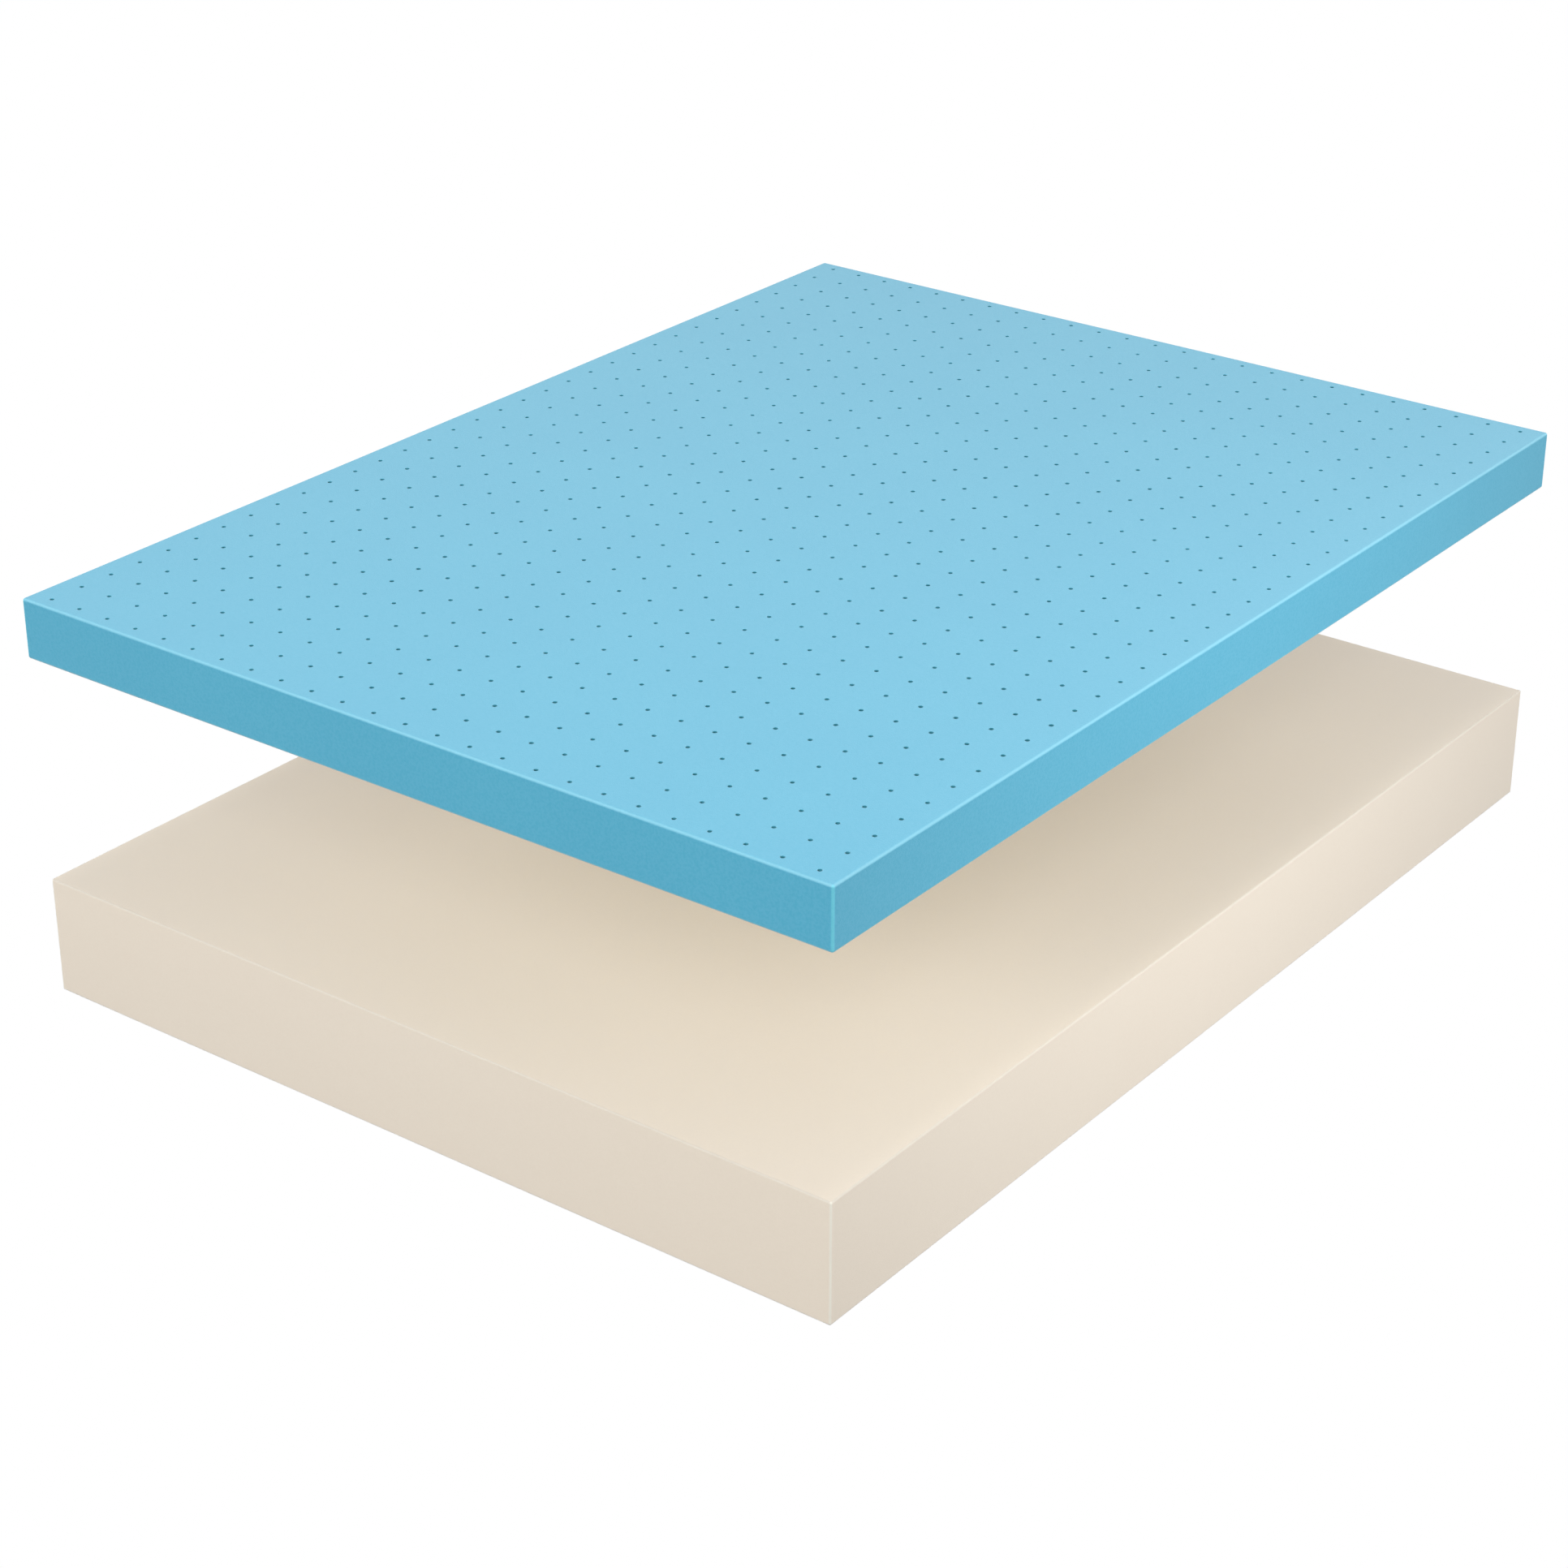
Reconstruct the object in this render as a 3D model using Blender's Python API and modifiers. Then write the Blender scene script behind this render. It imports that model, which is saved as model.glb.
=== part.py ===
"""Queen memory foam mattress core, drawn apart into its two slabs of foam.

A thick support foam base lies on the ground plane. A thinner gel memory foam
comfort layer of the same plan hangs level above it, and lowers straight onto it
along the vertical axis through the middle of both. Metres, +Z up, origin in the
middle of the base's underside: X is the width of the bed and Y is its length.
"""

import bmesh
import bpy

COLLECTION_NAME = "memory_foam_mattress"

# Plan of the bed, shared by both slabs so that their sides line up.
WIDTH = 1.520
LENGTH = 2.030

# Support foam base.
BASE_THICKNESS = 0.200
BASE_EDGE_RADIUS = 0.003

# Gel memory foam comfort layer.
COMFORT_THICKNESS = 0.100
COMFORT_EDGE_RADIUS = 0.004

# The comfort layer travels down from its drawn-apart height until this gap is left.
LIFT_TRAVEL = 0.3785
SEAT_GAP = 0.0005

EDGE_SEGMENTS = 4

BASE_COLOUR = (0.79, 0.72, 0.61, 1.0)
COMFORT_COLOUR = (0.24, 0.59, 0.76, 1.0)
BASE_ROUGHNESS = 0.90
COMFORT_ROUGHNESS = 0.80


def clear_scene():
    """Remove every object that the file opened with."""
    for leftover in list(bpy.data.objects):
        bpy.data.objects.remove(leftover)


def new_collection(name):
    """Make the collection that holds the object's parts."""
    collection = bpy.data.collections.new(name)
    bpy.context.scene.collection.children.link(collection)
    return collection


def foam_material(name, colour, roughness):
    """Make a plain foam material: a dull dielectric of one colour."""
    material = bpy.data.materials.new(name)
    material.use_nodes = True
    shader = material.node_tree.nodes["Principled BSDF"]
    shader.inputs["Base Color"].default_value = colour
    shader.inputs["Roughness"].default_value = roughness
    shader.inputs["Metallic"].default_value = 0.0
    return material


def foam_slab(name, thickness, edge_radius, material, collection):
    """Make one slab of the bed's plan, its origin in the middle of its underside.

    The slab is a box with every edge and corner rounded to edge_radius.
    """
    cage = bmesh.new()
    bmesh.ops.create_cube(cage, size=1.0)
    bmesh.ops.scale(cage, vec=(WIDTH, LENGTH, thickness), verts=cage.verts)
    bmesh.ops.translate(cage, vec=(0.0, 0.0, thickness / 2), verts=cage.verts)
    mesh = bpy.data.meshes.new(name)
    cage.to_mesh(mesh)
    cage.free()
    mesh.materials.append(material)
    mesh.shade_smooth()

    slab = bpy.data.objects.new(name, mesh)
    collection.objects.link(slab)
    rounding = slab.modifiers.new("rounded_edges", "BEVEL")
    rounding.width = edge_radius
    rounding.segments = EDGE_SEGMENTS
    rounding.limit_method = "NONE"
    rounding.harden_normals = True
    return slab


def build_base(collection):
    """Make the support foam base, standing on the ground plane."""
    material = foam_material("support_foam", BASE_COLOUR, BASE_ROUGHNESS)
    return foam_slab(
        "support_foam_base", BASE_THICKNESS, BASE_EDGE_RADIUS, material, collection
    )


def build_comfort_layer(collection):
    """Make the comfort layer at its drawn-apart height, with its origin on the lift axis."""
    material = foam_material("gel_memory_foam", COMFORT_COLOUR, COMFORT_ROUGHNESS)
    layer = foam_slab(
        "gel_comfort_layer", COMFORT_THICKNESS, COMFORT_EDGE_RADIUS, material, collection
    )
    layer.location.z = BASE_THICKNESS + SEAT_GAP + LIFT_TRAVEL
    return layer


def main():
    """Build the whole mattress core."""
    clear_scene()
    collection = new_collection(COLLECTION_NAME)
    build_base(collection)
    build_comfort_layer(collection)


main()
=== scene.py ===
"""Memory foam mattress: a punched gel foam comfort layer held clear above its support foam base.

All sizes are metres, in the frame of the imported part: X across the bed, Y along it and Z up.
"""

import logging
import math
from dataclasses import dataclass, field
from enum import Enum
from typing import ClassVar

import bpy
import numpy as np
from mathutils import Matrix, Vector


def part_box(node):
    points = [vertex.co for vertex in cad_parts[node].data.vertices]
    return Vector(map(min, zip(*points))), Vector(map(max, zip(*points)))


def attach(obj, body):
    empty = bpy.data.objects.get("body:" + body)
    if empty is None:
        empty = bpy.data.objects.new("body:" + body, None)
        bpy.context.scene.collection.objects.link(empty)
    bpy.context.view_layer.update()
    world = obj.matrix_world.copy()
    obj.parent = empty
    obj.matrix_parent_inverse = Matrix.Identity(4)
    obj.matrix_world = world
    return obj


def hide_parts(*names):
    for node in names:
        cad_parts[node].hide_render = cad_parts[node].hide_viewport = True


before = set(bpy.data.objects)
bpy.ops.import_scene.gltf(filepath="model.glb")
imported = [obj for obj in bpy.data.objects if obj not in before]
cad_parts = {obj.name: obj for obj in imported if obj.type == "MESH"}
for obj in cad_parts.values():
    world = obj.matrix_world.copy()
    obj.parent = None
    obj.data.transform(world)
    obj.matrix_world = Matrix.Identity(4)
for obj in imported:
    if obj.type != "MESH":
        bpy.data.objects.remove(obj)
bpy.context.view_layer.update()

LOG = logging.getLogger("foam_mattress")
WELD_DISTANCE = 1e-6

Colour = tuple[float, float, float]

WHITE: Colour = (1.0, 1.0, 1.0)
BLACK: Colour = (0.0, 0.0, 0.0)


class FoamSlot(Enum):
    """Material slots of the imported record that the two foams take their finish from."""

    SUPPORT = "support_foam"
    GEL = "gel_memory_foam"


class FoamBody(Enum):
    """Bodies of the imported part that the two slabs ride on."""

    BASE = "base"
    COMFORT = "comfort_layer"


class SurfaceValue(Enum):
    """Values stored on each slab's points for its finish to read."""

    RIM = "rim"
    CORNER = "corner"
    CUT_SIDE = "cut_side"
    BORE = "bore"


# ---------------------------------------------------------------------------
# Surfaces
# ---------------------------------------------------------------------------


@dataclass(frozen=True)
class FoamSurface:
    """A piece of a slab's skin as points on a grid, with what each point knows about itself."""

    points: np.ndarray
    outward: np.ndarray
    faces: np.ndarray
    values: dict[SurfaceValue, np.ndarray]

    @staticmethod
    def joined(surfaces: list["FoamSurface"]) -> "FoamSurface":
        """Lays several surfaces into one, without merging their shared edges.

        Args:
            surfaces: the surfaces of one closed skin.

        Returns:
            One surface whose faces count through all the points in turn.
        """
        counts = np.array([len(surface.points) for surface in surfaces])
        starts = np.concatenate([[0], np.cumsum(counts)[:-1]])
        faces = [surface.faces + start for surface, start in zip(surfaces, starts)]
        values = {
            kind: np.concatenate([surface.values[kind] for surface in surfaces])
            for kind in SurfaceValue
        }
        return FoamSurface(
            np.concatenate([surface.points for surface in surfaces]),
            np.concatenate([surface.outward for surface in surfaces]),
            np.concatenate(faces),
            values,
        )

    def settled(self, depth: float) -> "FoamSurface":
        """Gives the skin the slight waver of a sawn slab.

        Each point moves inward against its own outward direction, by half of the depth times one
        plus 0.6 of a broad product of sines and 0.4 of a slanted sine. Those two never come to
        more than one either way, so the skin never leaves its box.

        Args:
            depth: the most that a point moves in.

        Returns:
            The same surface with its points moved.
        """
        x, y, z = self.points.T
        broad = np.sin(5.1 * x + 1.3) * np.sin(4.3 * y + 0.4)
        slanted = np.sin(11.7 * y - 7.9 * x + 9.0 * z)
        shift = -0.5 * depth * (1.0 + 0.6 * broad + 0.4 * slanted)
        return FoamSurface(
            self.points + self.outward * shift[:, None], self.outward, self.faces, self.values
        )

    def to_mesh(self, name: str) -> bpy.types.Mesh:
        """Merges shared points and puts the surface into a mesh.

        Points that round to the same place become one. A face that has two equal corners
        after that is kept as a triangle, and every face is turned to look outward.

        Args:
            name: the mesh's name.

        Returns:
            A closed mesh with smooth shading and its own outward directions.
        """
        keys = np.round(self.points / WELD_DISTANCE).astype(np.int64)
        _, first, same = np.unique(keys, axis=0, return_index=True, return_inverse=True)
        points, outward = self.points[first], self.outward[first]
        faces = same.reshape(-1)[self.faces]
        spread = points[faces]
        facing = np.cross(spread[:, 2] - spread[:, 0], spread[:, 3] - spread[:, 1])
        inward = (facing * outward[faces].mean(axis=1)).sum(axis=1) < 0
        faces[inward] = faces[inward, ::-1]
        repeated = faces == np.roll(faces, -1, axis=1)
        quads = faces[~repeated.any(axis=1)]
        folded = repeated.sum(axis=1) == 1
        triangles = faces[folded][~repeated[folded]].reshape(-1, 3)
        corners = np.concatenate([quads.ravel(), triangles.ravel()])
        quad_starts = 4 * np.arange(len(quads))
        triangle_starts = quads.size + 3 * np.arange(len(triangles))
        starts = np.concatenate([quad_starts, triangle_starts])

        mesh = bpy.data.meshes.new(name)
        mesh.vertices.add(len(points))
        mesh.vertices.foreach_set("co", points.astype(np.float32).ravel())
        mesh.loops.add(len(corners))
        mesh.loops.foreach_set("vertex_index", corners.astype(np.int32))
        mesh.polygons.add(len(starts))
        mesh.polygons.foreach_set("loop_start", starts.astype(np.int32))
        mesh.update(calc_edges=True)
        mesh.polygons.foreach_set("use_smooth", np.ones(len(starts), bool))
        for kind, numbers in self.values.items():
            layer = mesh.attributes.new(kind.value, "FLOAT", "POINT")
            layer.data.foreach_set("value", numbers[first].astype(np.float32))
        mesh.normals_split_custom_set_from_vertices(outward.astype(np.float32))
        mesh.validate()
        return mesh


def grid_faces(rows: int, columns: int, closed: bool) -> np.ndarray:
    """Numbers the four-cornered faces of a grid of points.

    Args:
        rows: points down the grid.
        columns: points across the grid.
        closed: whether the last column joins the first.

    Returns:
        An array of faces, four point numbers each.
    """
    index = np.arange(rows * columns).reshape(rows, columns)
    if closed:
        index = np.concatenate([index, index[:, :1]], axis=1)
    corners = [index[:-1, :-1], index[:-1, 1:], index[1:, 1:], index[1:, :-1]]
    return np.stack(corners, axis=-1).reshape(-1, 4)


def split_lines(lines: np.ndarray, parts: int) -> np.ndarray:
    """Divides each gap between neighbouring lines into equal parts.

    Args:
        lines: places in rising order.
        parts: how many parts each gap has.

    Returns:
        The lines with the new ones between them.
    """
    steps = np.arange(parts) / parts
    inner = lines[:-1, None] + np.diff(lines)[:, None] * steps
    return np.append(inner.ravel(), lines[-1])


@dataclass(frozen=True)
class SlabForm:
    """The plain outer form of a foam slab: a block with a small even radius on every edge."""

    low: Vector
    high: Vector
    edge_radius: float
    corner_steps: int = 5
    edge_steps: int = 5
    side_rows: int = 6

    def inset(self, axis: int) -> tuple[float, float]:
        """Where the flat of a face begins and ends along one axis."""
        return self.low[axis] + self.edge_radius, self.high[axis] - self.edge_radius

    def stations(self, across: np.ndarray, along: np.ndarray) -> tuple[np.ndarray, np.ndarray]:
        """Places and outward directions round the slab, seen from above.

        The path runs round the rectangle that the flat faces end on. A side's points all look
        straight out of it, and at a corner the same point is repeated while its direction turns.

        Args:
            across: places of the points on the front and back sides, rising in X.
            along: places of the points on the left and right sides, rising in Y.

        Returns:
            The points and their directions, two numbers each.
        """
        front = np.stack([across, np.full_like(across, along[0])], axis=1)
        right = np.stack([np.full_like(along, across[-1]), along], axis=1)
        back = np.stack([across[::-1], np.full_like(across, along[-1])], axis=1)
        left = np.stack([np.full_like(along, across[0]), along[::-1]], axis=1)
        turning = np.arange(1, self.corner_steps) / self.corner_steps * (math.pi / 2)
        places, angles = [], []
        for side, points in enumerate((front, right, back, left)):
            straight = (side - 1) * math.pi / 2
            places += [points, np.repeat(points[-1:], len(turning), axis=0)]
            angles += [np.full(len(points), straight), straight + turning]
        angle = np.concatenate(angles)
        return np.concatenate(places), np.stack([np.cos(angle), np.sin(angle)], axis=1)

    def skirt(self, across: np.ndarray, along: np.ndarray) -> FoamSurface:
        """The rounded edges and upright sides, as one profile carried round the slab.

        The profile turns from straight up to straight out over the top edge, drops down the side
        and turns to straight down under the lower edge. A point is its station plus its direction
        times the radius times the cosine of the turn, at the arc's centre height plus the radius
        times the sine of the turn. The rim value is the size of the sine of twice that turn, and
        the corner value is the root of the same measure taken round the slab.

        Args:
            across: places of the points on the front and back sides.
            along: places of the points on the left and right sides.

        Returns:
            The surface between the top flat and the lower flat.
        """
        floor, ceiling = self.inset(2)
        quarter = np.linspace(0.0, math.pi / 2, self.edge_steps + 1)
        drop = np.linspace(ceiling, floor, self.side_rows + 1)[1:-1]
        turn = np.concatenate([quarter[::-1], np.zeros(len(drop)), -quarter])
        centre = np.concatenate(
            [np.full(len(quarter), ceiling), drop, np.full(len(quarter), floor)]
        )
        place, direction = self.stations(across, along)
        rows, columns = len(turn), len(place)
        reach = self.edge_radius * np.cos(turn)[:, None, None]
        flat = place[None] + direction[None] * reach
        height = np.broadcast_to((centre + self.edge_radius * np.sin(turn))[:, None, None],
                                 (rows, columns, 1))
        outward = np.concatenate(
            [
                direction[None] * np.cos(turn)[:, None, None],
                np.broadcast_to(np.sin(turn)[:, None, None], (rows, columns, 1)),
            ],
            axis=2,
        )
        rim = np.broadcast_to(np.abs(np.sin(2 * turn))[:, None], (rows, columns)).ravel()
        turned = np.abs(2 * direction[:, 0] * direction[:, 1])
        corner = np.sqrt(turned) * np.cos(turn)[:, None]
        side = np.broadcast_to(np.cos(turn)[:, None], (rows, columns)).ravel()
        return FoamSurface(
            np.concatenate([flat, height], axis=2).reshape(-1, 3),
            outward.reshape(-1, 3),
            grid_faces(rows, columns, closed=True),
            {
                SurfaceValue.RIM: rim,
                SurfaceValue.CORNER: corner.ravel(),
                SurfaceValue.CUT_SIDE: side,
                SurfaceValue.BORE: np.zeros(rows * columns),
            },
        )

    def flat(self, across: np.ndarray, along: np.ndarray, upper: bool) -> FoamSurface:
        """The plain top or lower face, as a level grid of points.

        Args:
            across: places of the grid's lines in X.
            along: places of the grid's lines in Y.
            upper: whether this is the top face.

        Returns:
            The face up to where the rounded edge begins.
        """
        x, y = np.meshgrid(across, along)
        height = self.high.z if upper else self.low.z
        points = np.stack([x, y, np.full_like(x, height)], axis=-1).reshape(-1, 3)
        outward = np.zeros_like(points)
        outward[:, 2] = 1.0 if upper else -1.0
        nothing = {kind: np.zeros(len(points)) for kind in SurfaceValue}
        return FoamSurface(points, outward, grid_faces(*x.shape, closed=False), nothing)


@dataclass(frozen=True)
class PunchedHoles:
    """The even field of round ventilation holes through the comfort layer."""

    columns: int = 25
    rows: int = 34
    pitch: float = 0.060
    radius: float = 0.00325
    lip: float = 0.0009
    parts_per_side: int = 4

    def centres(self, count: int, middle: float) -> np.ndarray:
        """Places of the hole centres along one axis, evenly spaced about the middle."""
        return middle + (np.arange(count) - (count - 1) / 2) * self.pitch

    def cell_lines(self, centres: np.ndarray, ends: tuple[float, float]) -> np.ndarray:
        """Lines that part the slab into one cell a hole, with the flat's own ends outside."""
        between = (centres[:-1] + centres[1:]) / 2
        return split_lines(np.concatenate([[ends[0]], between, [ends[1]]]), self.parts_per_side)

    def field(self, form: SlabForm, across: np.ndarray, along: np.ndarray) -> FoamSurface:
        """Both flat faces with their holes, one cell of skin for each hole.

        A cell is a profile carried round the hole. It starts on the cell's own rectangle at the
        top, runs level to the lip, turns down over the lip, drops straight through the slab and
        comes out to the same rectangle underneath. The point at one turn of one ring is the hole's
        centre plus the ring's radius times the cosine and sine of the turn.

        Args:
            form: the slab that the holes go through.
            across: the cells' lines in X, split into parts.
            along: the cells' lines in Y, split into parts.

        Returns:
            The top face, the holes' walls and the lower face.
        """
        parts = self.parts_per_side
        step = np.arange(parts)
        walk_x = np.concatenate([step, np.full(parts, parts), parts - step, np.zeros(parts, int)])
        walk_y = np.roll(walk_x, parts)
        around = len(walk_x)
        turn = -0.75 * math.pi + np.arange(around) * (2 * math.pi / around)
        circle = np.stack([np.cos(turn), np.sin(turn)], axis=1)

        cell_x = np.arange(self.columns) * parts
        cell_y = np.arange(self.rows) * parts
        middle = (form.low + form.high) / 2
        centre_x, centre_y = np.meshgrid(
            self.centres(self.columns, middle.x), self.centres(self.rows, middle.y), indexing="ij"
        )
        centre = np.stack([centre_x, centre_y], axis=-1)[:, :, None, None, :]
        edge_x = np.broadcast_to(across[cell_x[:, None, None] + walk_x], centre_x.shape + (around,))
        edge_y = np.broadcast_to(along[cell_y[None, :, None] + walk_y], centre_x.shape + (around,))
        rectangle = np.stack([edge_x, edge_y], axis=-1)[:, :, None]

        # The profile's seven rings: the rectangle, where the lip begins, half way over it, the
        # top and the foot of the straight wall, the lower mouth and the lower rectangle.
        half = math.sqrt(0.5)
        eased = self.lip * (1 - half)
        top, under = form.high.z, form.low.z
        ring_radius = self.radius + np.array([self.lip, eased, 0.0, 0.0, self.lip])
        height = np.array([top, top, top - eased, top - self.lip, under + self.lip, under, under])
        level = np.array([1.0, 1.0, half, 0.0, 0.0, -1.0, -1.0])
        leaning = np.array([0.0, 0.0, half, 1.0, 1.0, 0.0, 0.0])
        # The lip ring takes the finish's rim tone, a painted highlight on the gel.
        rim = np.array([0.0, 0.0, 1.0, 0.0, 0.0, 0.0, 0.0])
        # The bore value marks the hole walls, which the finish darkens as painted shade.
        bore = np.array([0.0, 0.0, 0.4, 1.0, 1.0, 0.0, 0.0])

        rings = centre + circle * ring_radius[:, None, None]
        flat = np.concatenate([rectangle, rings, rectangle], axis=2)
        shape = flat.shape[:-1]
        tall = np.broadcast_to(height[:, None], shape)[..., None]
        points = np.concatenate([flat, tall], axis=-1).reshape(-1, 3)
        inward = np.broadcast_to(-circle * leaning[:, None, None], shape + (2,))
        upright = np.broadcast_to(level[:, None], shape)[..., None]
        outward = np.concatenate([inward, upright], axis=-1).reshape(-1, 3)

        one_hole = grid_faces(len(height), around, closed=True)
        starts = np.arange(self.columns * self.rows) * (len(height) * around)
        faces = (one_hole[None] + starts[:, None, None]).reshape(-1, 4)
        values = {
            SurfaceValue.RIM: np.broadcast_to(rim[:, None], shape).ravel(),
            SurfaceValue.CORNER: np.zeros(len(points)),
            SurfaceValue.CUT_SIDE: np.zeros(len(points)),
            SurfaceValue.BORE: np.broadcast_to(bore[:, None], shape).ravel(),
        }
        return FoamSurface(points, outward, faces, values)


# ---------------------------------------------------------------------------
# Finishes
# ---------------------------------------------------------------------------


class NodeBench:
    """Lays nodes on one node tree and wires their sockets."""

    def __init__(self, tree: bpy.types.NodeTree) -> None:
        """Starts work on a tree."""
        self.tree = tree

    def lay(self, kind: str, settings: dict | None = None, **sockets: object) -> bpy.types.Node:
        """Adds a node, sets it and fills its input sockets.

        Args:
            kind: the node's type name.
            settings: the node's own properties.
            sockets: input sockets by name, with _ for a space. A socket is wired in, and anything
                else becomes the input's own value.

        Returns:
            The new node.
        """
        node = self.tree.nodes.new(kind)
        for name, value in (settings or {}).items():
            setattr(node, name, value)
        for name, value in sockets.items():
            self.fill(node.inputs[name.replace("_", " ")], value)
        return node

    def fill(self, socket: bpy.types.NodeSocket, value: object) -> None:
        """Wires a socket into another, or sets its value.

        Args:
            socket: the input to fill.
            value: an output socket, or the input's own value.
        """
        if isinstance(value, bpy.types.NodeSocket):
            self.tree.links.new(value, socket)
        else:
            socket.default_value = value

    def sum_up(self, operation: str, *terms: object, clamp: bool = False) -> bpy.types.NodeSocket:
        """One arithmetic step on numbers or sockets.

        Args:
            operation: the Math node's operation.
            terms: what goes in, in order.
            clamp: whether the result is kept between 0 and 1.

        Returns:
            The result's socket.
        """
        node = self.lay("ShaderNodeMath", {"operation": operation, "use_clamp": clamp})
        for socket, term in zip(node.inputs, terms):
            self.fill(socket, term)
        return node.outputs["Value"]

    def span(self, value: bpy.types.NodeSocket, start: float, end: float) -> bpy.types.NodeSocket:
        """A smooth 0 to 1 rise of a value between two marks.

        Args:
            value: the value's socket.
            start: where the rise begins.
            end: where it is full, above or below the start.

        Returns:
            The result's socket.
        """
        settings = {"interpolation_type": "SMOOTHSTEP"}
        node = self.lay("ShaderNodeMapRange", settings, Value=value, From_Min=start, From_Max=end)
        return node.outputs["Result"]

    def blend(self, share: object, under: object, over: object) -> bpy.types.NodeSocket:
        """Mixes two colours by a share.

        Args:
            share: how far the mix turns to the second colour, as a number or a socket.
            under: the first colour.
            over: the second colour.

        Returns:
            The mixed colour's socket.
        """
        node = self.lay("ShaderNodeMix", {"data_type": "RGBA"})
        colours = [socket for socket in node.inputs if socket.type == "RGBA"]
        self.fill(node.inputs["Factor"], share)
        self.fill(colours[0], under)
        self.fill(colours[1], over)
        return next(socket for socket in node.outputs if socket.type == "RGBA")


def opaque(colour: Colour) -> tuple[float, float, float, float]:
    """A colour with full cover, as a colour socket wants it."""
    return (*colour, 1.0)


def new_group(name: str, inputs: list[str], outputs: list[str]) -> bpy.types.NodeTree:
    """Starts a shader node group with its named sockets.

    Args:
        name: the group's name.
        inputs: names of the inputs. Position is a vector and the rest are numbers.
        outputs: names of the outputs, all numbers.

    Returns:
        The group's tree, with its input and output nodes in place.
    """
    tree = bpy.data.node_groups.new(name, "ShaderNodeTree")
    for label in inputs:
        kind = "NodeSocketVector" if label == "Position" else "NodeSocketFloat"
        tree.interface.new_socket(label, in_out="INPUT", socket_type=kind)
    for label in outputs:
        tree.interface.new_socket(label, in_out="OUTPUT", socket_type="NodeSocketFloat")
    tree.nodes.new("NodeGroupInput").name = "given"
    tree.nodes.new("NodeGroupOutput").name = "result"
    return tree


@dataclass(frozen=True)
class FoamEffects:
    """The node groups that both foams share.

    A pair of marks is a value's start and end as it turns smoothly from none to full. A fineness
    is a share of the small cells' own, so a lower one makes larger features.
    """

    SMALL_CELL_MARKS: ClassVar[tuple[float, float]] = (0.62, 0.12)
    SMALL_CELL_DEPTH: ClassVar[float] = 0.55
    LARGE_CELL_MARKS: ClassVar[tuple[float, float]] = (0.27, 0.08)
    LARGE_CELL_FINENESS: ClassVar[float] = 0.31
    TORN_WALL_FINENESS: ClassVar[float] = 0.9
    TORN_WALL_HEIGHT: ClassVar[float] = 0.5
    CLUMP_FINENESS: ClassVar[float] = 0.28
    SAW_STREAKS_PER_METRE: ClassVar[tuple[float, float, float]] = (3.0, 3.0, 420.0)

    open_cells: bpy.types.NodeTree
    slow_drift: bpy.types.NodeTree
    saw_lines: bpy.types.NodeTree

    @staticmethod
    def build() -> "FoamEffects":
        """Builds each shared effect once.

        Returns:
            The three groups.
        """
        return FoamEffects(
            FoamEffects.make_open_cells(),
            FoamEffects.make_slow_drift(),
            FoamEffects.make_saw_lines(),
        )

    @staticmethod
    def make_open_cells() -> bpy.types.NodeTree:
        """The burst cells of cut foam.

        Small cells are the distance to the nearest of many scattered points, with larger cells
        sown among them, and a fine noise for the torn walls between. Pits are where the distance
        is short, and Height falls with them. Speckle is a softer noise, as clumps of cells show.

        Returns:
            A group with Pits, Speckle and Height out.
        """
        tree = new_group("open_cells", ["Position", "Cell Size"], ["Pits", "Speckle", "Height"])
        bench = NodeBench(tree)
        given, result = tree.nodes["given"].outputs, tree.nodes["result"].inputs
        fineness = bench.sum_up("DIVIDE", 1.0, given["Cell Size"])
        place = given["Position"]
        nearest = {"feature": "F1"}

        cells = bench.lay("ShaderNodeTexVoronoi", nearest, Vector=place, Scale=fineness)
        small = bench.span(cells.outputs["Distance"], *FoamEffects.SMALL_CELL_MARKS)
        coarse = bench.sum_up("MULTIPLY", fineness, FoamEffects.LARGE_CELL_FINENESS)
        sown = bench.lay("ShaderNodeTexVoronoi", nearest, Vector=place, Scale=coarse)
        large = bench.span(sown.outputs["Distance"], *FoamEffects.LARGE_CELL_MARKS)
        shallow = bench.sum_up("MULTIPLY", small, FoamEffects.SMALL_CELL_DEPTH)
        pits = bench.sum_up("MAXIMUM", shallow, large)

        torn_scale = bench.sum_up("MULTIPLY", fineness, FoamEffects.TORN_WALL_FINENESS)
        torn = bench.lay(
            "ShaderNodeTexNoise", Vector=place, Scale=torn_scale, Detail=3.0, Roughness=0.6
        )
        ground = bench.sum_up("MULTIPLY", torn.outputs["Fac"], FoamEffects.TORN_WALL_HEIGHT)
        clump_scale = bench.sum_up("MULTIPLY", fineness, FoamEffects.CLUMP_FINENESS)
        clumps = bench.lay(
            "ShaderNodeTexNoise", Vector=place, Scale=clump_scale, Detail=2.5, Roughness=0.6
        )
        bench.fill(result["Pits"], pits)
        bench.fill(result["Speckle"], clumps.outputs["Fac"])
        bench.fill(result["Height"], bench.sum_up("SUBTRACT", ground, pits))
        return tree

    @staticmethod
    def make_slow_drift() -> bpy.types.NodeTree:
        """The broad, faint shifts of tone across a poured block, as soft noise about a half.

        Returns:
            A group with Drift out.
        """
        tree = new_group("slow_drift", ["Position", "Patch Size"], ["Drift"])
        bench = NodeBench(tree)
        given, result = tree.nodes["given"].outputs, tree.nodes["result"].inputs
        scale = bench.sum_up("DIVIDE", 1.0, given["Patch Size"])
        cloud = bench.lay(
            "ShaderNodeTexNoise", Vector=given["Position"], Scale=scale, Detail=3.0, Roughness=0.45
        )
        bench.fill(result["Drift"], cloud.outputs["Fac"])
        return tree

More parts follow.
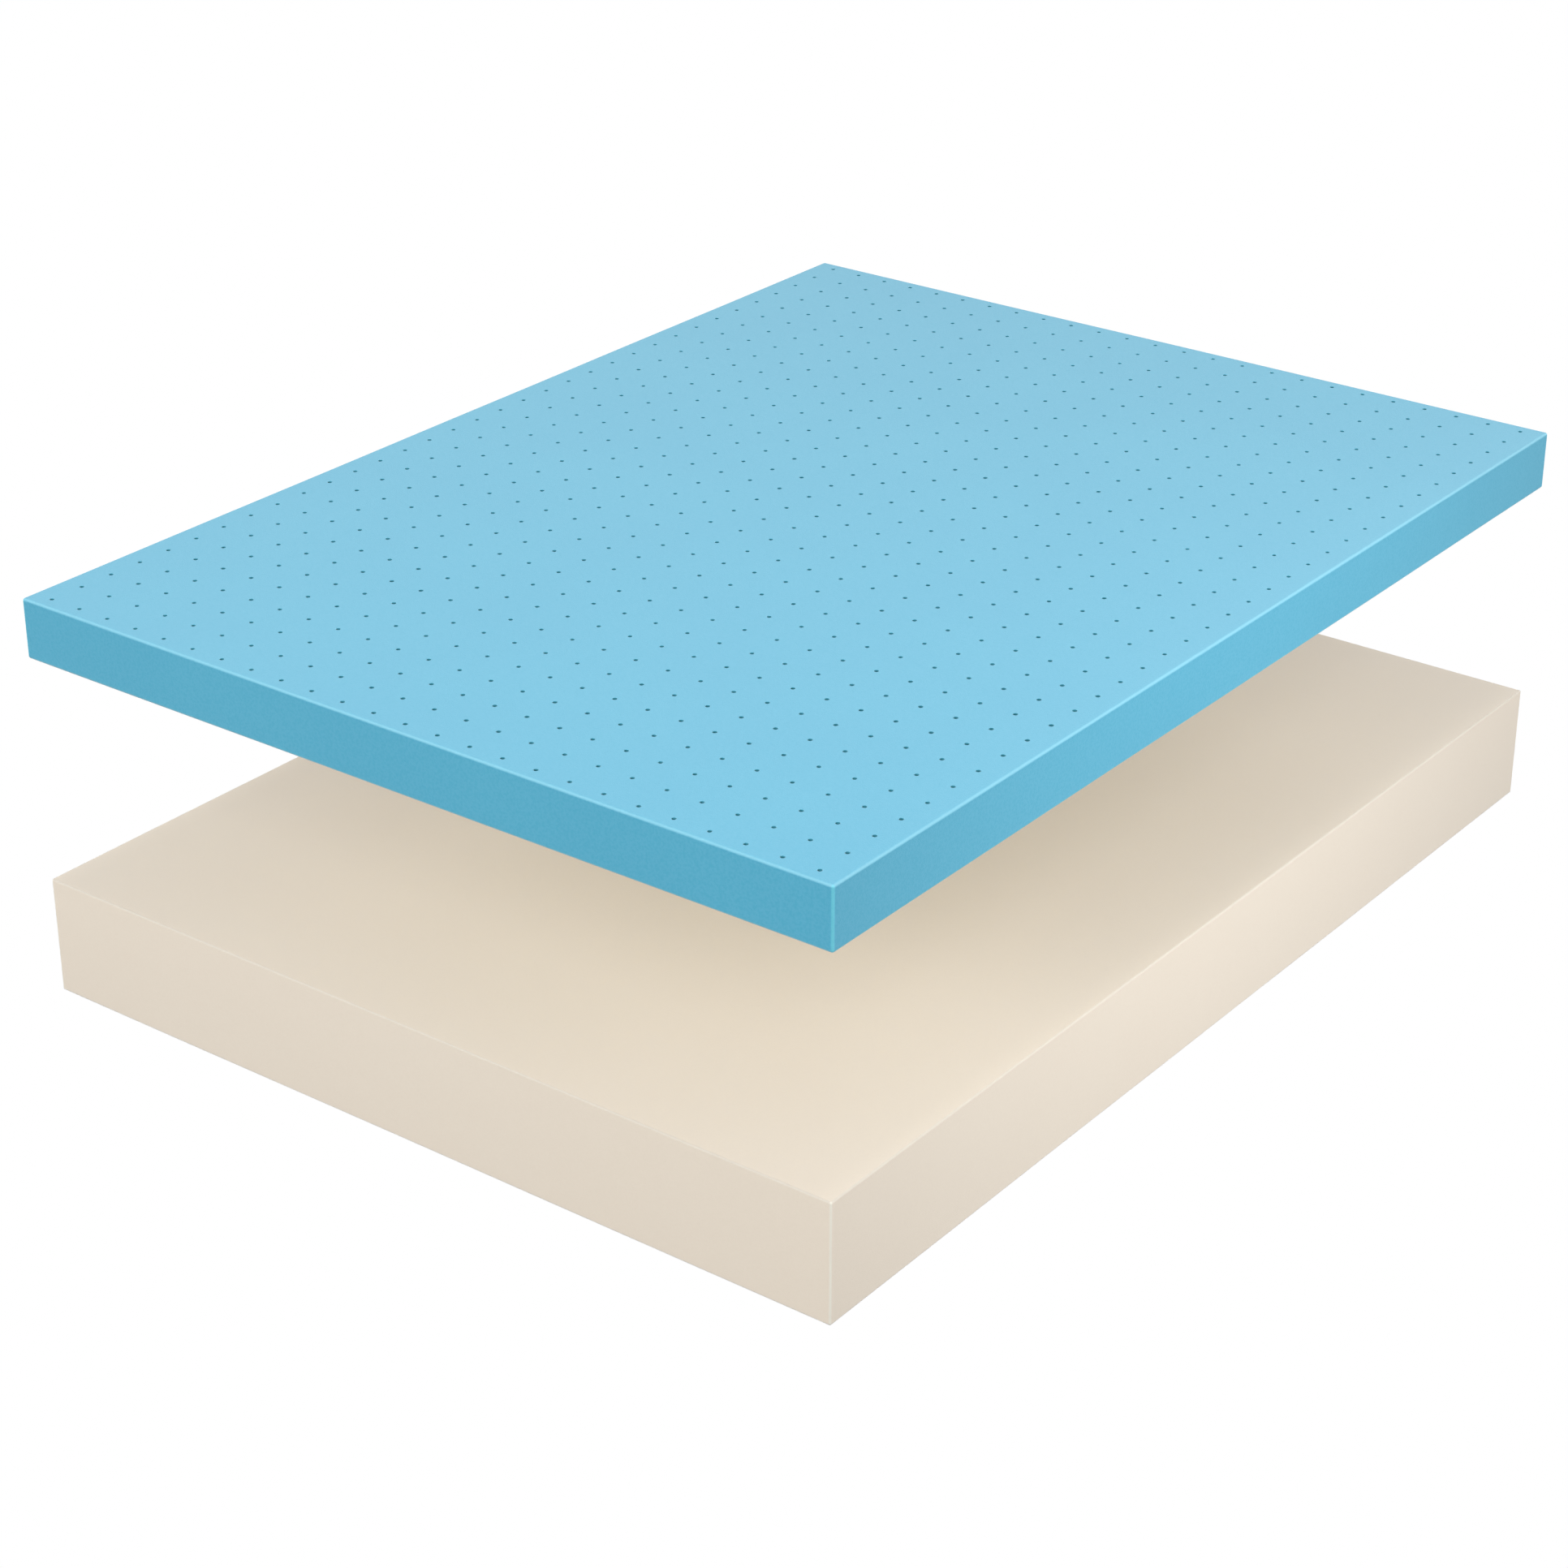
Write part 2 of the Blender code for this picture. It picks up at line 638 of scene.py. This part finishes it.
    @staticmethod
    def make_saw_lines() -> bpy.types.NodeTree:
        """The faint level lines that a slitting blade leaves on the sides.

        Noise is read at places drawn out level and packed close in height, so that it makes long
        thin streaks, and Side keeps them off the flat faces.

        Returns:
            A group with Lines out.
        """
        tree = new_group("saw_lines", ["Position", "Side"], ["Lines"])
        bench = NodeBench(tree)
        given, result = tree.nodes["given"].outputs, tree.nodes["result"].inputs
        drawn = bench.lay("ShaderNodeVectorMath", {"operation": "MULTIPLY"})
        bench.fill(drawn.inputs[0], given["Position"])
        bench.fill(drawn.inputs[1], FoamEffects.SAW_STREAKS_PER_METRE)
        streaks = bench.lay(
            "ShaderNodeTexNoise", Vector=drawn.outputs["Vector"], Scale=1.0, Detail=2.0
        )
        lines = bench.sum_up("MULTIPLY", streaks.outputs["Fac"], given["Side"])
        bench.fill(result["Lines"], lines)
        return tree


@dataclass(frozen=True)
class FoamFinish:
    """One foam: its tones and how its cut surface looks.

    A share runs from 0 to 1 and says how far the tone turns towards another. The bounce tone is
    what the foam lends to light that it throws on, where that isn't its own tone. The rim tone is
    painted light on the rounded edges: a painted highlight on the gel and a painted shade on the
    support. The upright corners turn towards the pale tone as a painted highlight, and the bore
    tone is painted shade in the holes, partly the denser skin of their walls.
    """

    PATCH_SIZE: ClassVar[float] = 0.22
    PATCH_MARKS: ClassVar[tuple[float, float]] = (0.35, 0.65)
    GRAIN_MARKS: ClassVar[tuple[float, float]] = (0.38, 0.66)
    SAW_LINE_HEIGHT: ClassVar[float] = 0.35
    PIT_ROUGHNESS: ClassVar[float] = 0.2
    RELIEF_PER_CELL: ClassVar[float] = 0.5

    name: str
    tone: Colour
    deep_tone: Colour
    # The pale tone serves the random pale patches and the painted highlight on the upright corners.
    pale_and_highlight_tone: Colour
    # The bore tone is painted shade in the holes, partly the denser skin of the punched walls.
    bore_skin_and_shade_tone: Colour
    # Painted light on the rounded edges and hole lips: highlight on the gel, shade on the support.
    rim_highlight_and_shade_tone: Colour
    cell_size: float
    roughness: float
    rim_roughness: float
    pit_share: float
    speckle_share: float
    side_speckle: float
    drift_share: float
    rim_highlight_and_shade_share: float
    corner_highlight_share: float
    bump: float
    specular: float
    sheen: float
    sheen_roughness: float
    bounce_tone: Colour | None = None

    def material(self, effects: FoamEffects) -> bpy.types.Material:
        """Builds the foam's material.

        Args:
            effects: the shared node groups.

        Returns:
            A material that reads Object coordinates and the slab's own point values.
        """
        material = bpy.data.materials.new(self.name)
        material.use_nodes = True
        material.node_tree.nodes.clear()
        bench = NodeBench(material.node_tree)
        place = bench.lay("ShaderNodeTexCoord").outputs["Object"]
        marks = {kind: self.read(bench, kind) for kind in SurfaceValue}

        cells = bench.lay("ShaderNodeGroup", {"node_tree": effects.open_cells}, Position=place)
        cells.inputs["Cell Size"].default_value = self.cell_size
        drift = bench.lay("ShaderNodeGroup", {"node_tree": effects.slow_drift}, Position=place)
        drift.inputs["Patch Size"].default_value = self.PATCH_SIZE
        lines = bench.lay("ShaderNodeGroup", {"node_tree": effects.saw_lines}, Position=place)
        bench.fill(lines.inputs["Side"], marks[SurfaceValue.CUT_SIDE])

        pits = bench.sum_up("MULTIPLY", cells.outputs["Pits"], self.pit_share)
        toned = self.toned(bench, pits, cells.outputs["Speckle"], drift.outputs["Drift"], marks)
        height = bench.sum_up(
            "MULTIPLY_ADD", lines.outputs["Lines"], self.SAW_LINE_HEIGHT, cells.outputs["Height"]
        )
        relief = self.RELIEF_PER_CELL * self.cell_size
        bump = bench.lay("ShaderNodeBump", Height=height, Strength=self.bump, Distance=relief)
        rough = bench.sum_up("MULTIPLY_ADD", pits, self.PIT_ROUGHNESS, self.roughness)
        rough = bench.sum_up(
            "MULTIPLY_ADD", marks[SurfaceValue.RIM], self.rim_roughness, rough, clamp=True
        )

        shader = bench.lay("ShaderNodeBsdfPrincipled", Base_Color=toned, Roughness=rough)
        bench.fill(shader.inputs["Normal"], bump.outputs["Normal"])
        shader.inputs["Specular IOR Level"].default_value = self.specular
        shader.inputs["Sheen Weight"].default_value = self.sheen
        shader.inputs["Sheen Roughness"].default_value = self.sheen_roughness
        bench.lay("ShaderNodeOutputMaterial", Surface=shader.outputs["BSDF"])
        return material

    def toned(
        self,
        bench: NodeBench,
        pits: bpy.types.NodeSocket,
        speckle: bpy.types.NodeSocket,
        drift: bpy.types.NodeSocket,
        marks: dict[SurfaceValue, bpy.types.NodeSocket],
    ) -> bpy.types.NodeSocket:
        """Works out the foam's colour, from the plain tone to the bores.

        It paints highlight and shade on the rounded edges, highlight on the upright corners and
        shade in the bores.

        Args:
            bench: the material's bench.
            pits: how deep in a burst cell a place is, times its share.
            speckle: the clumps of cells.
            drift: the slow drift of tone.
            marks: the slab's own point values.

        Returns:
            The finished colour.
        """
        toned = bench.blend(pits, opaque(self.tone), opaque(self.deep_tone))
        patch = bench.sum_up("MULTIPLY", bench.span(drift, *self.PATCH_MARKS), self.drift_share)
        toned = bench.blend(patch, toned, opaque(self.pale_and_highlight_tone))
        side = marks[SurfaceValue.CUT_SIDE]
        amount = bench.sum_up("MULTIPLY_ADD", side, self.side_speckle, self.speckle_share)
        grain = bench.sum_up("MULTIPLY", bench.span(speckle, *self.GRAIN_MARKS), amount)
        toned = bench.blend(grain, toned, opaque(self.deep_tone))
        # Painted highlight on the gel's rounded edges and hole lips, painted shade on the support's
        # rounded edges.
        rim = bench.sum_up("MULTIPLY", marks[SurfaceValue.RIM], self.rim_highlight_and_shade_share)
        toned = bench.blend(rim, toned, opaque(self.rim_highlight_and_shade_tone))
        # Painted highlight down the upright corners, towards the pale tone.
        corner = bench.sum_up("MULTIPLY", marks[SurfaceValue.CORNER], self.corner_highlight_share)
        toned = bench.blend(corner, toned, opaque(self.pale_and_highlight_tone))
        # Painted shade down the hole walls, partly the denser skin of the punched bores.
        toned = bench.blend(marks[SurfaceValue.BORE], toned, opaque(self.bore_skin_and_shade_tone))
        if self.bounce_tone:
            bounced = bench.lay("ShaderNodeLightPath").outputs["Is Diffuse Ray"]
            toned = bench.blend(bounced, toned, opaque(self.bounce_tone))
        return toned

    @staticmethod
    def read(bench: NodeBench, kind: SurfaceValue) -> bpy.types.NodeSocket:
        """The socket that gives one of the slab's own point values."""
        node = bench.lay("ShaderNodeAttribute", {"attribute_name": kind.value})
        return node.outputs["Fac"]


SUPPORT_FINISH = FoamFinish(
    name="support_foam_cream",
    tone=(0.90, 0.80, 0.67),
    deep_tone=(0.70, 0.58, 0.44),
    pale_and_highlight_tone=(1.0, 0.96, 0.84),
    bore_skin_and_shade_tone=(0.60, 0.48, 0.34),
    # Painted shade: the rounded edges are darkened to hold back the highlight they catch.
    rim_highlight_and_shade_tone=(0.64, 0.61, 0.55),
    cell_size=0.0011,
    roughness=0.7,
    rim_roughness=0.3,
    pit_share=0.10,
    speckle_share=0.02,
    side_speckle=0.02,
    drift_share=0.03,
    rim_highlight_and_shade_share=0.6,
    # Painted highlight: the upright corners turn fully to the pale tone.
    corner_highlight_share=1.0,
    bump=0.25,
    specular=0.3,
    sheen=0.6,
    sheen_roughness=0.5,
)

GEL_FINISH = FoamFinish(
    name="gel_foam_blue",
    tone=(0.10, 0.43, 0.61),
    deep_tone=(0.050, 0.375, 0.55),
    pale_and_highlight_tone=(0.22, 0.80, 0.92),
    # Painted shade in the holes, partly the denser skin of their walls.
    bore_skin_and_shade_tone=(0.050, 0.30, 0.44),
    # Painted highlight: the rounded edges and the hole lips are paler.
    rim_highlight_and_shade_tone=(0.36, 0.66, 0.76),
    cell_size=0.0012,
    roughness=0.62,
    rim_roughness=0.2,
    pit_share=0.10,
    speckle_share=0.2,
    side_speckle=0.18,
    drift_share=0.02,
    rim_highlight_and_shade_share=0.5,
    # Painted highlight: the upright corners turn part way to the pale tone.
    corner_highlight_share=0.55,
    bump=0.25,
    specular=0.0,
    sheen=0.42,
    sheen_roughness=0.5,
    bounce_tone=(0.46, 0.40, 0.16),
)


# ---------------------------------------------------------------------------
# The two slabs
# ---------------------------------------------------------------------------


def place_piece(name: str, mesh: bpy.types.Mesh, finish: bpy.types.Material) -> bpy.types.Object:
    """Makes an object of a finished mesh, at the origin.

    Args:
        name: the piece's name.
        mesh: its mesh, already in place.
        finish: its material.

    Returns:
        The object, linked into the scene.
    """
    mesh.materials.append(finish)
    piece = bpy.data.objects.new(name, mesh)
    bpy.context.scene.collection.objects.link(piece)
    return piece


@dataclass
class SupportBase:
    """The thick cream slab of firm support foam that carries the mattress."""

    node: str = "support_foam_base"
    edge_radius: float = 0.0035
    grid_pitch: float = 0.06
    waver: float = 0.0005
    finish: FoamFinish = SUPPORT_FINISH

    def lines(self, ends: tuple[float, float]) -> np.ndarray:
        """Evenly spaced grid lines between two ends, about one grid pitch apart."""
        return np.linspace(*ends, round((ends[1] - ends[0]) / self.grid_pitch) + 1)

    def build(self, effects: FoamEffects) -> bpy.types.Object:
        """Args:
            effects: the shared node groups.

        Returns:
            The finished piece.
        """
        form = SlabForm(*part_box(self.node), self.edge_radius, side_rows=5)
        across, along = self.lines(form.inset(0)), self.lines(form.inset(1))
        skin = FoamSurface.joined(
            [
                form.flat(across, along, upper=True),
                form.skirt(across, along),
                form.flat(across, along, upper=False),
            ]
        )
        mesh = skin.settled(self.waver).to_mesh("support_foam_slab")
        piece = place_piece("support_foam_slab", mesh, self.finish.material(effects))
        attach(piece, FoamBody.BASE.value)
        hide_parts(self.node)
        return piece


@dataclass
class ComfortLayer:
    """The blue slab of gel memory foam with its field of ventilation holes."""

    node: str = "gel_comfort_layer"
    edge_radius: float = 0.0045
    waver: float = 0.0005
    holes: PunchedHoles = field(default_factory=PunchedHoles)
    finish: FoamFinish = GEL_FINISH

    def build(self, effects: FoamEffects) -> bpy.types.Object:
        """Args:
            effects: the shared node groups.

        Returns:
            The finished piece.
        """
        form = SlabForm(*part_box(self.node), self.edge_radius, side_rows=4)
        middle = (form.low + form.high) / 2
        columns = self.holes.centres(self.holes.columns, middle.x)
        rows = self.holes.centres(self.holes.rows, middle.y)
        across = self.holes.cell_lines(columns, form.inset(0))
        along = self.holes.cell_lines(rows, form.inset(1))
        skin = FoamSurface.joined(
            [self.holes.field(form, across, along), form.skirt(across, along)]
        )
        mesh = skin.settled(self.waver).to_mesh("gel_foam_comfort_layer")
        piece = place_piece("gel_foam_comfort_layer", mesh, self.finish.material(effects))
        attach(piece, FoamBody.COMFORT.value)
        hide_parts(self.node)
        return piece


# ---------------------------------------------------------------------------
# Studio
# ---------------------------------------------------------------------------


@dataclass(frozen=True)
class SoftLamp:
    """A round diffused lamp aimed at the mattress.

    The bearing is measured round the bed from the side that looks along +Y, towards +X.
    """

    name: str
    bearing: float
    height_angle: float
    distance: float = 6.0
    width: float = 2.5
    power: float = 100.0
    aim: tuple[float, float, float] = (0.0, 0.0, 0.4)

    def build(self) -> bpy.types.Object:
        """Hangs the lamp and points it at its aim.

        Returns:
            The lamp.
        """
        bearing, height = math.radians(self.bearing), math.radians(self.height_angle)
        level = math.cos(height)
        away = Vector((math.sin(bearing) * level, -math.cos(bearing) * level, math.sin(height)))
        light = bpy.data.lights.new(self.name, "AREA")
        light.shape = "DISK"
        light.size = self.width
        light.energy = self.power
        lamp = bpy.data.objects.new(self.name, light)
        lamp.location = Vector(self.aim) + away * self.distance
        lamp.rotation_euler = (-away).to_track_quat("-Z", "Y").to_euler()
        lamp.visible_camera = False
        bpy.context.scene.collection.objects.link(lamp)
        return lamp


@dataclass
class Studio:
    """A white room with soft lamps, a plain pale floor and the camera."""

    camera_place: tuple[float, float, float] = (3.071, -4.1693, 2.7756)
    camera_forward: tuple[float, float, float] = (-0.54032, 0.71315, -0.44662)
    lens: float = 80.115
    sensor: float = 36.0
    floor_width: float = 60.0
    floor_drop: float = 0.001
    sky_strength: float = 0.25
    lamps: tuple[SoftLamp, ...] = (
        SoftLamp("front_left", bearing=315.0, height_angle=15.0),
        SoftLamp("foot", bearing=0.0, height_angle=20.0, power=115.0),
        SoftLamp("beside_camera", bearing=40.0, height_angle=25.0),
        SoftLamp("close_right", 90.0, 12.0, distance=2.6, width=1.0, power=25.0),
        SoftLamp("right_back", bearing=135.0, height_angle=15.0),
        SoftLamp("left_back", bearing=225.0, height_angle=15.0),
        SoftLamp("overhead", bearing=0.0, height_angle=90.0, distance=5.0, power=110.0),
    )

    def build(self) -> None:
        """Sets up the camera, room, floor and lamps."""
        scene = bpy.context.scene
        scene.view_settings.view_transform = "Standard"
        scene.view_settings.look = "None"
        self.hang_camera(scene)
        self.paint_room(scene)
        self.lay_floor(scene)
        for lamp in self.lamps:
            lamp.build()

    def hang_camera(self, scene: bpy.types.Scene) -> None:
        """Puts the camera in its place, level and looking along its own line.

        Args:
            scene: the scene that looks through it.
        """
        lens = bpy.data.cameras.new("camera")
        lens.lens = self.lens
        lens.sensor_width = self.sensor
        camera = bpy.data.objects.new("camera", lens)
        camera.location = self.camera_place
        camera.rotation_euler = Vector(self.camera_forward).to_track_quat("-Z", "Y").to_euler()
        scene.collection.objects.link(camera)
        scene.camera = camera

    def paint_room(self, scene: bpy.types.Scene) -> None:
        """Makes the room plain white to look at, with its own faint soft light on the foam.

        Args:
            scene: the scene whose room it is.
        """
        room = bpy.data.worlds.new("white_room")
        scene.world = room
        room.use_nodes = True
        room.node_tree.nodes.clear()
        bench = NodeBench(room.node_tree)
        seen = bench.lay("ShaderNodeLightPath").outputs["Is Camera Ray"]
        shown = bench.lay("ShaderNodeBackground", Color=opaque(WHITE), Strength=1.0)
        glow = bench.lay("ShaderNodeBackground", Color=opaque(WHITE), Strength=self.sky_strength)
        mixed = bench.lay("ShaderNodeMixShader", Fac=seen)
        bench.fill(mixed.inputs[1], glow.outputs["Background"])
        bench.fill(mixed.inputs[2], shown.outputs["Background"])
        bench.lay("ShaderNodeOutputWorld", Surface=mixed.outputs["Shader"])

    def lay_floor(self, scene: bpy.types.Scene) -> bpy.types.Object:
        """Lays the plain pale floor just under the mattress.

        It looks plain white and throws neither light nor shadow.

        Args:
            scene: the scene to lay it in.

        Returns:
            The floor.
        """
        half = self.floor_width / 2
        corners = np.array([[-half, -half], [half, -half], [half, half], [-half, half]])
        points = np.column_stack([corners, np.full(4, -self.floor_drop)])
        mesh = bpy.data.meshes.new("floor")
        mesh.from_pydata(points.tolist(), [], [[0, 1, 2, 3]])
        paint = bpy.data.materials.new("pale_floor")
        paint.use_nodes = True
        paint.node_tree.nodes.clear()
        bench = NodeBench(paint.node_tree)
        seen = bench.lay("ShaderNodeLightPath").outputs["Is Camera Ray"]
        glow = bench.lay("ShaderNodeEmission", Color=opaque(WHITE), Strength=1.0)
        matt = bench.lay("ShaderNodeBsdfDiffuse", Color=opaque(BLACK))
        mixed = bench.lay("ShaderNodeMixShader", Fac=seen)
        bench.fill(mixed.inputs[1], matt.outputs["BSDF"])
        bench.fill(mixed.inputs[2], glow.outputs["Emission"])
        bench.lay("ShaderNodeOutputMaterial", Surface=mixed.outputs["Shader"])
        mesh.materials.append(paint)
        floor = bpy.data.objects.new("floor", mesh)
        scene.collection.objects.link(floor)
        return floor


def main() -> None:
    """Builds the studio and both slabs, and reports each."""
    logging.basicConfig(level=logging.INFO, format="%(name)s: %(message)s")
    Studio().build()
    effects = FoamEffects.build()
    for part in (SupportBase(), ComfortLayer()):
        piece = part.build(effects)
        LOG.info("%s: %d faces", piece.name, len(piece.data.polygons))


if __name__ == "__main__":
    main()
